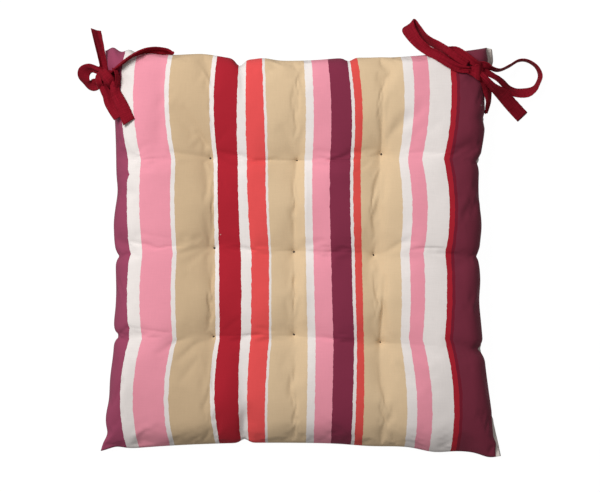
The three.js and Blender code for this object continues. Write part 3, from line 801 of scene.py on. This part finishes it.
# A row for each bend: x, y and z, heading of the tape's width in plan, its tilt from level, its width, and
# how far its middle bows out from its edges. Slant is how much further one side of a cut end reaches.
LEFT_TIE = {
    "back_strand": {"rows": [
        (-124, 197.4, 19, 100, 84, 8, 0),
        (-129, 198.6, 20, 97, 66, 9, 0.5),
        (-135, 199.3, 23, 94, 58, 9.5, 1.6),
        (-143.5, 200, 28, 85, 64, 10, 1.6),
        (-153, 198.6, 32, 74, 70, 11, 1.2),
        (-163, 194, 35, 60, 66, 11, 0.5),
        (-172, 187.8, 35, 50, 56, 11, 0.5),
        (-181, 180, 35, 50, 40, 10, 0.8),
        (-189, 173, 33, 50, 30, 9, 0.5),
    ]},
    "side_strand": {"rows": [
        (-190, 169, 27, 15, 40, 8, 0),
        (-189.5, 158, 26, 12, 60, 9, 0),
        (-187, 148, 22, 15, 70, 9, 0),
        (-184.5, 138, 17, 20, 75, 7, 0),
    ]},
    "loop": {"rows": [
        (-190, 177, 33, -75, -30, 8, 0),
        (-198.5, 179.6, 32, -80, -46, 10, 0.3),
        (-206.5, 182.3, 28, -82, -54, 12.5, 0.3),
        (-212.4, 180, 24, -48, -25, 13, 0.3),
        (-214.2, 174.6, 20, -5, 22, 13, 0.3),
        (-211.2, 168.8, 17, 40, 58, 13, 0.2),
        (-205.7, 166, 17, 78, 30, 13, 0),
        (-199.5, 167.4, 22, 100, 34, 11.5, -0.4),
        (-192, 169.5, 30, 105, 35, 9, -0.4),
    ]},
    "tail_up": {"rows": [
        (-191.5, 172, 31, 10, -10, 7, 1.4),
        (-193.2, 183, 31, 10, -32, 9.2, 2.2),
        (-196.8, 201, 32, 8, -42, 11.2, 2),
        (-200.9, 220.3, 34, 5, -42, 11.6, 1.8),
    ], "slant": -5},
    "tail_under": {"rows": [
        (-195, 171, 31, 20, -4, 8, 2),
        (-193, 162, 31.5, 16, -12, 9.4, 2.8),
        (-189.2, 154.6, 32, 20, -10, 10.6, 2.6),
        (-187, 147.6, 33, 28, -4, 11.4, 2),
        (-181.8, 139.5, 34, 30, 0, 12.4, 1),
        (-176.6, 132.8, 35, 28, 0, 13, 0.4),
    ], "slant": 2},
    "tail_down": {"rows": [
        (-186, 172, 37, 0, -6, 7, 1.8),
        (-182.4, 164, 39, 4, -14, 9, 2.9),
        (-181, 157.4, 39, 12, -12, 10.4, 2.8),
        (-177.6, 150.6, 39, 24, -8, 11.6, 2),
        (-173.4, 142, 38.5, 30, -4, 12.6, 1.2),
        (-167.3, 127.8, 38, 28, -2, 13.2, 0.7),
    ], "slant": -2},
    "front_band": {"rows": [
        (-197, 183, 26, 30, 10, 7, 0.5),
        (-195.4, 179.4, 33, 35, 6, 9, 1.6),
        (-192.6, 175.8, 38.5, 40, 2, 10.4, 2.4),
        (-189, 171.8, 40.5, 38, 0, 11, 2.6),
        (-186, 168, 39, 30, -4, 10.5, 2.2),
        (-184.6, 164.6, 33, 24, -6, 9, 1),
    ]},
    "left_wrap": {"rows": [
        (-195.4, 178.5, 33, -10, 34, 8, 0.8),
        (-198, 173.6, 35, 0, 38, 9, 1.6),
        (-198, 168, 35, 8, 36, 9, 1.6),
        (-195.4, 162.4, 31, 20, 20, 8, 0.8),
    ]},
    "neck_band": {"rows": [
        (-182, 181, 27, 20, -70, 8, 0.5),
        (-180, 178, 29, 10, -74, 11, 0.5),
        (-178.8, 172, 29, 0, -74, 12.5, 0.5),
        (-180, 164, 29, -8, -70, 10, 0.5),
        (-184, 159, 29, 0, -40, 7, 0),
    ]},
}
# Lumps of crushed tape inside the knot: x, y and z, turn in plan, and length, width and height
LEFT_KNOT = [(-190, 171, 29, 50, (21, 15, 13)), (-186.5, 172, 30, -60, (17, 12, 11))]
LUMP_SIDES = 24


def smooth_rows(rows, steps):
    """Reads the rows at even steps between them, on a curve through them all."""
    rows = np.array(rows, float)
    padded = np.concatenate([2 * rows[:1] - rows[1:2], rows, 2 * rows[-1:] - rows[-2:-1]])
    at = np.linspace(0, len(rows) - 1, (len(rows) - 1) * steps + 1)
    number = np.minimum(at.astype(int), len(rows) - 2)
    t = (at - number)[:, None]
    p0, p1, p2, p3 = (padded[number + k] for k in range(4))
    straight = 2 * p1 + (p2 - p0) * t
    bent = (2 * p0 - 5 * p1 + 4 * p2 - p3) * t ** 2
    return (straight + bent + (3 * p1 - p0 - 3 * p2 + p3) * t ** 3) / 2


cover_tree = BVHTree.FromPolygons([Vector(p) for p in cover_points], face_quads.tolist())


def height_over_pad(place):
    """Height of the cover's face under a place, or of the surface below where there is no pad."""
    hit = cover_tree.ray_cast(Vector((place[0], place[1], RAY_START)), Vector((0, 0, -1)))[0]
    return hit.z if hit else 0


def tape_strip(rows, slant=0):
    """Points, faces and cloth places of one flat tape along its rows, lifted clear of the pad."""
    read = smooth_rows(rows, TAPE_STEPS)
    centre, width, bow = read[:, :3], read[:, 5], read[:, 6]
    heading, tilt = np.radians(read[:, 3]), np.radians(read[:, 4])
    along = np.gradient(centre, axis=0)
    step_lengths = np.linalg.norm(np.diff(centre, axis=0), axis=1)
    travelled = np.concatenate([[0], np.cumsum(step_lengths)])
    along /= np.linalg.norm(along, axis=1, keepdims=True)
    wide = np.column_stack([np.cos(heading) * np.cos(tilt), np.sin(heading) * np.cos(tilt), np.sin(tilt)])
    thick = np.cross(along, wide)
    thick /= np.linalg.norm(thick, axis=1, keepdims=True)
    wide = np.cross(thick, along)
    side = np.sin(np.linspace(-np.pi / 2, np.pi / 2, TAPE_ACROSS))
    arc_width = width + 8 * bow ** 2 / (3 * width)
    narrowing = np.sqrt(np.maximum((TAPE_WIDTH / arc_width) ** 2 - 1, 0))
    folds = np.cos(GATHER_WAVES * np.pi * side + travelled[:, None] / GATHER_TURN)
    gather = (narrowing * width / (np.pi * GATHER_WAVES * 2))[:, None] * folds
    middle = np.outer(bow, 1 - side ** 2) + gather
    half_thick = TAPE_THICKNESS / 2 * np.sqrt(1 - side ** TAPE_SQUARENESS)
    stitched = (side > 0) * PUCKER["depth"] * np.sin(2 * np.pi * travelled / PUCKER["length"])[:, None]
    out = side * (width[:, None] / 2 + stitched)
    reach = slant / 2 * side * (1 - (travelled[-1] - travelled[:, None]) / SLANT_REACH).clip(0)
    spine = centre[:, None] + out[..., None] * wide[:, None] + reach[..., None] * along[:, None]
    upper = spine + (middle + half_thick)[..., None] * thick[:, None]
    lower = spine + (middle - half_thick)[..., None] * thick[:, None]
    rings = np.concatenate([upper, lower[:, -2:0:-1]], axis=1)
    lifts = [max(height_over_pad(p) + TAPE_CLEARANCE - p[2] for p in ring) for ring in rings]
    lifts = np.maximum(lifts, 0)
    for _ in range(TAPE_STEPS // 2):
        padded = np.pad(lifts, 1, mode="edge")
        lifts = np.maximum(lifts, (padded[:-2] + padded[2:]) / 2)
    rings[..., 2] += lifts[:, None]
    count, around = rings.shape[:2]
    faces = ring_quads(0, count, around)
    first, last = 0, (count - 1) * around
    for j in range(TAPE_ACROSS - 1):
        a, b = j, j + 1
        c, d = (around - j - 1) % around if j else around - 1, (around - j) % around
        corners = [a, b, c, d] if j < TAPE_ACROSS - 2 else [a, b, d]
        corners = list(dict.fromkeys(corners))
        faces.append([first + i for i in corners[::-1]])
        faces.append([last + i for i in corners])
    cloth_side = np.concatenate([side, side[-2:0:-1]]) * TAPE_WIDTH / 2
    places = np.stack(np.broadcast_arrays(cloth_side[None], travelled[:, None]), axis=-1)
    return rings.reshape(-1, 3), faces, places.reshape(-1, 2)


def knot_lump(x, y, z, turn, size):
    """The tape crushed inside a knot, as one rounded lump."""
    rise = np.linspace(-np.pi / 2, np.pi / 2, LUMP_SIDES // 2 + 1)
    around = np.arange(LUMP_SIDES) * 2 * np.pi / LUMP_SIDES
    ring = np.cos(rise)[:, None]
    heights = np.repeat(np.sin(rise)[:, None], LUMP_SIDES, 1)
    ball = np.stack([ring * np.cos(around), ring * np.sin(around), heights], -1)
    ball *= np.array(size) / 2
    c, s = math.cos(math.radians(turn)), math.sin(math.radians(turn))
    turned_x = ball[..., 0] * c - ball[..., 1] * s
    turned_y = ball[..., 0] * s + ball[..., 1] * c
    ball = np.stack([turned_x, turned_y, ball[..., 2]], -1)
    points = np.concatenate([ball[0, :1], ball[1:-1].reshape(-1, 3), ball[-1, :1]]) + (x, y, z)
    rings, n = LUMP_SIDES // 2 - 1, LUMP_SIDES
    last = 1 + (rings - 1) * n
    faces = [[0, 1 + (j + 1) % n, 1 + j] for j in range(n)]
    faces += ring_quads(1, rings, n)
    faces += [[last + j, last + (j + 1) % n, len(points) - 1] for j in range(n)]
    return points, faces, points[:, :2]


def tie_object(name, tie, knot):
    """One tie as one mesh, with its places in the cloth."""
    parts = [tape_strip(run["rows"], run.get("slant", 0)) for run in tie.values()]
    parts += [knot_lump(*lump) for lump in knot]
    points, faces = join_parts([part[:2] for part in parts])
    made = new_object(name, points * MM + np.array(PAD_MIDDLE), faces)
    map_cloth(made, "tape", np.concatenate([part[2] for part in parts]))
    return made


left_bow = tie_object("left_bow", LEFT_TIE, LEFT_KNOT)

# Piece-dyed cotton, woven plain and folded to a narrow tape: a deep wine red, matt, with a line of stitches
# that dips along one edge. Its threads are drawn as coarse as the cover's.
STITCH_LENGTH = 2.4
STITCH_INSET = 4.9
STITCH_WIDTH = 0.5
TAPE_COLOURS = ("#6b0d18", "#8b1727")
# How deep each stitch dips and how high the weave rises, as shares of the depth of the stitched line
STITCH_DIP = 0.4
WEAVE_RISE = 0.4
TAPE_RELIEF = {"Strength": 0.4, "Distance": 0.4 * MM}
tape, tree, shader = new_material("dyed cotton tape", Roughness=0.95, Specular_IOR_Level=0.06)
tape_place = add_node(tree, "ShaderNodeUVMap", uv_map="tape").outputs["UV"]
tape_weave = slubby_weave(tree, tape_place)
uneven = {"Value": tape_weave, "From Min": 0.7, "From Max": 1.3}
dye = add_node(tree, "ShaderNodeValToRGB", {"Fac": add_node(tree, "ShaderNodeMapRange", uneven).outputs[0]})
dye.color_ramp.elements[0].color = linear(TAPE_COLOURS[0])
dye.color_ramp.elements[1].color = linear(TAPE_COLOURS[1])
tree.links.new(dye.outputs["Color"], shader.inputs["Base Color"])
split = add_node(tree, "ShaderNodeSeparateXYZ", {0: tape_place})
off_line = calculate(tree, "ABSOLUTE", calculate(tree, "SUBTRACT", split.outputs[0], STITCH_INSET * MM))
groove = add_node(tree, "ShaderNodeMapRange", {
    "Value": off_line, "From Min": 0, "From Max": STITCH_WIDTH * 2 * MM, "To Min": 0, "To Max": 1,
}, interpolation_type="SMOOTHSTEP").outputs[0]
in_stitch = calculate(tree, "PINGPONG", split.outputs[1], STITCH_LENGTH * MM)
stitched = calculate(tree, "MULTIPLY_ADD", in_stitch, STITCH_DIP / (STITCH_LENGTH * MM), groove)
tape_height = calculate(tree, "MULTIPLY_ADD", tape_weave, WEAVE_RISE, stitched)
raised = add_node(tree, "ShaderNodeBump", {"Height": tape_height, **TAPE_RELIEF})
tree.links.new(raised.outputs[0], shader.inputs["Normal"])
left_bow.data.materials.append(tape)
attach(left_bow, "root")
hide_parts("left_tie")


# The right-hand tie is the same two tapes, sewn into the back and side seams and tied in a bow: a flattened
# loop towards the back, a loose open loop out to the right, and one tail. The knot gathers them narrow.
RIGHT_TIE = {
    "back_strand": {"rows": [
        (151, 200, 24, 120, 40, 10, 0.5),
        (158, 197.6, 30, 75, 24, 11, 1.4),
        (166, 193, 34, 60, 22, 10, 1.4),
        (173.5, 187.6, 37, 58, 22, 9, 1.2),
        (180, 183.5, 35, 60, 20, 8, 0.6),
    ]},
    "side_strand": {"rows": [
        (180, 177, 32, 10, -30, 9, 0),
        (186.5, 168.5, 30, 10, -38, 12.5, 0.5),
        (189, 160, 26.5, 8, -48, 12.5, 0.5),
        (190.2, 151, 22, 4, -66, 12, 0.5),
        (189.2, 143.5, 18, 0, -68, 11, 0),
        (187.6, 137.6, 16.5, 0, -76, 10, 0),
    ]},
    "flat_loop": {"rows": [
        (170, 179.5, 36, 62, 6, 7, 1),
        (160, 181, 38, 66, 10, 8, 2.4),
        (150, 186, 38, 62, 10, 8.8, 2.6),
        (140, 192.8, 36, 57, 10, 9.4, 2.2),
        (130, 199, 32, 50, 10, 9.8, 1.6),
        (121, 206.5, 26, 43, 6, 11, 0.8),
        (113.8, 216, 20, 38, 2, 13, 0.3),
        (110.5, 223.5, 14, 38, 0, 14.2, 0),
        (113.5, 228.3, 9, 42, 26, 13, 0),
        (120, 223.6, 9, 50, 60, 13, 0),
        (125.6, 215, 14, 50, 58, 13, 0),
        (133.4, 208.8, 20, 56, 62, 13, 0.4),
        (141, 203.7, 25, 60, 48, 12.4, 1.4),
        (149, 197.8, 30, 60, 38, 11, 2),
        (158, 191, 34, 58, 28, 9.5, 2.2),
        (168, 185, 35, 55, 16, 8, 1.4),
    ]},
    "open_loop": {"rows": [
        (176, 184, 35, 80, 20, 9, 1),
        (184.5, 184.4, 35, 78, 34, 10, 0.8),
        (191.5, 182.2, 30, 76, 72, 11, 0.2),
        (201, 181, 21, 85, 82, 13, 0.3),
        (211, 185, 13, 120, 82, 13, 0.3),
        (221, 190.8, 9, 100, 82, 13, 0.3),
        (230, 190.8, 8, 75, 82, 13, 0.3),
        (239, 185, 8, 40, 80, 13, 0.3),
        (243, 176, 8, 0, 74, 13, 0.3),
        (240.2, 167.2, 8, -42, 72, 13, 0.3),
        (236, 161.8, 8, -64, 58, 13, 0.2),
        (229.5, 158.8, 7.5, -84, 42, 13, 0.1),
        (219.5, 158.6, 8, -88, 44, 13, 0.2),
        (211, 161.6, 12, -112, 48, 12, 0.6),
        (203.8, 168.4, 19, -135, 56, 11, 0.8),
        (196, 173.6, 27, -125, 52, 10, 0.8),
        (184, 180, 33, -110, 20, 8, 0.4),
    ]},
    "tail": {"rows": [
        (178, 178, 37, 55, 8, 6.5, 0.8),
        (186.5, 170.6, 37, 58, 6, 7, 2.2),
        (193.6, 163.8, 31, 50, 8, 8.4, 2.2),
        (203.5, 156.6, 21.5, 46, 10, 12.6, 0.8),
        (214, 146, 12, 43, 8, 13.6, 0.4),
        (225.5, 134.5, 4, 42, 2, 13.6, 0.2),
    ]},
    "front_band": {"rows": [
        (187, 178, 28, 88, 0, 13, 0.2),
        (182.6, 178.3, 37, 88, 0, 18, 0.5),
        (179.4, 178.4, 41.5, 90, 0, 18.5, 0.8),
        (174.5, 178.8, 42.5, 92, 0, 12, 1.6),
        (169.5, 179.2, 41, 95, 0, 7, 1.6),
        (164.5, 179, 37, 100, 0, 4.5, 1),
        (160, 178.6, 33, 100, 0, 4, 0.5),
    ]},
}
RIGHT_KNOT = [(174, 181, 32, -40, (20, 13, 13)), (178, 179, 33, 60, (18, 13, 11))]
right_bow = tie_object("right_bow", RIGHT_TIE, RIGHT_KNOT)
right_bow.data.materials.append(tape)
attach(right_bow, "root")
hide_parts("right_tie")


# The floor is a plain white table that isn't part of the pad. It glows, so that it shows white and without
# shadows, and casts no light onto the cloth, so that the rims stay as dark as under soft light from above.
FLOOR_REACH = 4
FLOOR_GAP = 0.5
FLOOR_BASE = 0.04
FLOOR_GLOW = 0.98
floor_corners = [(x * FLOOR_REACH, y * FLOOR_REACH, 0) for x, y in ((-1, -1), (1, -1), (1, 1), (-1, 1))]
floor = new_object("floor", floor_corners, [(0, 1, 2, 3)])
white_table, tree, shader = new_material("white table", Roughness=0.9, Emission_Strength=FLOOR_GLOW)
shader.inputs["Base Color"].default_value = (FLOOR_BASE, FLOOR_BASE, FLOOR_BASE, 1)
shader.inputs["Emission Color"].default_value = (1, 1, 1, 1)
floor.data.materials.append(white_table)
floor.location.z = -FLOOR_GAP * MM
floor.visible_diffuse = False

# Soft light: one large lamp beyond the back left corner, and an even white surround
world = bpy.data.worlds.new("surround")
world.use_nodes = True
surround = world.node_tree.nodes["Background"].inputs
surround["Color"].default_value = (1, 1, 1, 1)
surround["Strength"].default_value = 0.28
scene.world = world
lamp_data = bpy.data.lights.new("soft lamp", "AREA")
lamp_data.shape = "DISK"
lamp_data.size = 1
lamp_data.energy = 46.5
lamp = bpy.data.objects.new("soft lamp", lamp_data)
lamp.location = (-0.95, 0.95, 1.85)
lamp.rotation_euler = (-lamp.location).to_track_quat("-Z", "Y").to_euler()
scene.collection.objects.link(lamp)

# The camera looks straight down with a long lens. Its frame is 600 by 492 mm at the height of the seam.
FRAME_WIDTH = 600
CAMERA_RISE = 3000
FRAME_MIDDLE = (2, 5, 17)
camera_data = bpy.data.cameras.new("camera")
camera_data.sensor_width = 36
camera_data.lens = camera_data.sensor_width * CAMERA_RISE / FRAME_WIDTH
camera = bpy.data.objects.new("camera", camera_data)
camera.location = PAD_MIDDLE + (Vector(FRAME_MIDDLE) + Vector((0, 0, CAMERA_RISE))) * MM
scene.collection.objects.link(camera)
scene.camera = camera
scene.view_settings.view_transform = "Standard"
